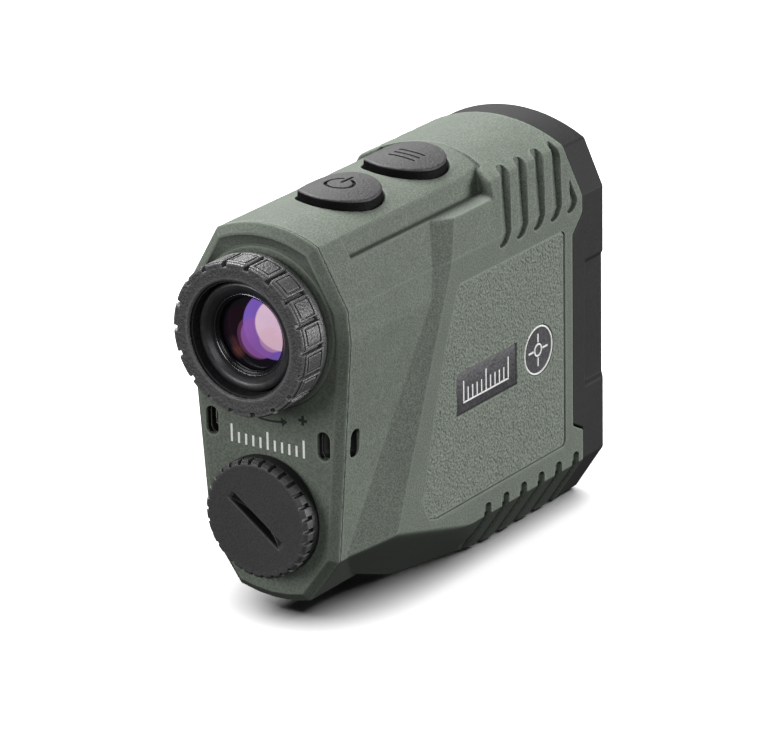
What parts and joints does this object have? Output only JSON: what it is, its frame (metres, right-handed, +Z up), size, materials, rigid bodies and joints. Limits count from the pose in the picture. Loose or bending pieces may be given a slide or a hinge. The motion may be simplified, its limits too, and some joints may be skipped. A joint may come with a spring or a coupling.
{
  "type": "handheld laser rangefinder",
  "caption": "Pocket laser rangefinder with a turning eyepiece ring, sprung top keys, a coin-slot screw battery cap, rubber armour with grip grooves and a black objective bezel.",
  "frame": {"origin": "middle of the underside, at the centre of the box's footprint", "axes": "+Y along the optical axis towards the objective, +X to the user's right, +Z up through the keys"},
  "size_m": [0.04, 0.0968, 0.0813],
  "materials": {
    "armour": "matt green moulded armour",
    "bezel_black": "fine textured black",
    "plate_grey": "satin dark grey",
    "badge_satin": "satin disc with a dark centre",
    "steel": "plain",
    "black_plastic": "moulded black",
    "display_glass": "clear",
    "optical_glass": "polished",
    "coated_glass": "polished, violet coating",
    "black_alloy": "black anodised",
    "circuit_board": "green solder mask",
    "switch_plastic": "moulded grey",
    "brass_contact": "plated",
    "cell_jacket": "plain printed jacket, no lettering",
    "grip_rubber": "matt black ribbed",
    "key_rubber": "fine grained dark grey",
    "cap_black": "fine grained black",
    "seal_rubber": "smooth"
  },
  "bodies": {
    "housing": {"armour_shell": "armour", "rear_cover": "armour", "objective_bezel": "bezel_black", "name_plate_right": "plate_grey", "name_plate_left": "plate_grey", "badge_right": "badge_satin", "badge_left": "badge_satin", "bezel_screw_1": "steel", "bezel_screw_2": "steel", "bezel_screw_3": "steel", "bezel_screw_4": "steel", "optic_bench": "black_plastic", "reticle_display": "display_glass", "roof_prism": "optical_glass", "half_penta_prism": "optical_glass", "objective_tube": "black_alloy", "objective_lens": "coated_glass", "objective_ring": "black_alloy", "receiver_cone": "black_plastic", "receiver_lens": "coated_glass", "receiver_ring": "black_alloy", "receiver_board": "circuit_board", "detector_can": "steel", "emitter_tube": "black_alloy", "emitter_lens": "coated_glass", "laser_diode": "brass_contact", "main_board": "circuit_board", "switch_board": "circuit_board", "power_switch": "switch_plastic", "mode_switch": "switch_plastic", "battery_tube": "black_plastic", "battery_cell": "cell_jacket", "battery_contact": "brass_contact"},
    "dioptre_ring": {"dioptre_grip": "grip_rubber", "dioptre_sleeve": "black_plastic"},
    "ocular": {"ocular_cell": "black_alloy", "eye_lens": "coated_glass", "eye_lens_ring": "black_alloy", "field_lens": "optical_glass", "field_lens_ring": "black_alloy"},
    "power_button": {"power_key": "key_rubber"},
    "power_stem": {"power_plunger": "switch_plastic"},
    "mode_button": {"mode_key": "key_rubber"},
    "mode_stem": {"mode_plunger": "switch_plastic"},
    "cap_carrier": {"cap_contact": "brass_contact", "cap_spring": "steel"},
    "battery_lid": {"battery_cap": "cap_black", "cap_seal": "seal_rubber"}
  },
  "joints": [
    {"name": "dioptre_turn", "type": "hinge", "parent": "housing", "child": "dioptre_ring", "pos_m": [0, -0.0445, 0.0596], "axis": [0, -1, 0], "range_deg": [-120, 120]},
    {"name": "ocular_focus", "type": "slide", "parent": "housing", "child": "ocular", "axis": [0, -1, 0], "range_m": [-0.0005, 0.0005]},
    {"name": "power_press", "type": "slide", "parent": "housing", "child": "power_button", "axis": [0, 0, -1], "range_m": [0, 0.0008], "stiffness_N_per_m": 800, "springref_m": -0.001},
    {"name": "power_stem_press", "type": "slide", "parent": "housing", "child": "power_stem", "axis": [0, 0, -1], "range_m": [0, 0.0006]},
    {"name": "mode_press", "type": "slide", "parent": "housing", "child": "mode_button", "axis": [0, 0, -1], "range_m": [0, 0.0008], "stiffness_N_per_m": 800, "springref_m": -0.001},
    {"name": "mode_stem_press", "type": "slide", "parent": "housing", "child": "mode_stem", "axis": [0, 0, -1], "range_m": [0, 0.0006]},
    {"name": "cap_unscrew", "type": "slide", "parent": "housing", "child": "cap_carrier", "axis": [0, -1, 0], "range_m": [0, 0.00225]},
    {"name": "cap_turn", "type": "hinge", "parent": "cap_carrier", "child": "battery_lid", "pos_m": [0, -0.0425, 0.022], "axis": [0, -1, 0], "range_deg": [0, 540]}
  ],
  "couplings": [
    {"joint": "dioptre_turn", "follows": "ocular_focus", "rad_per_m": 4188.8},
    {"joint": "power_stem_press", "follows": "power_press", "ratio": 0.7},
    {"joint": "mode_stem_press", "follows": "mode_press", "ratio": 0.7},
    {"joint": "cap_turn", "follows": "cap_unscrew", "rad_per_m": 4188.8}
  ]
}
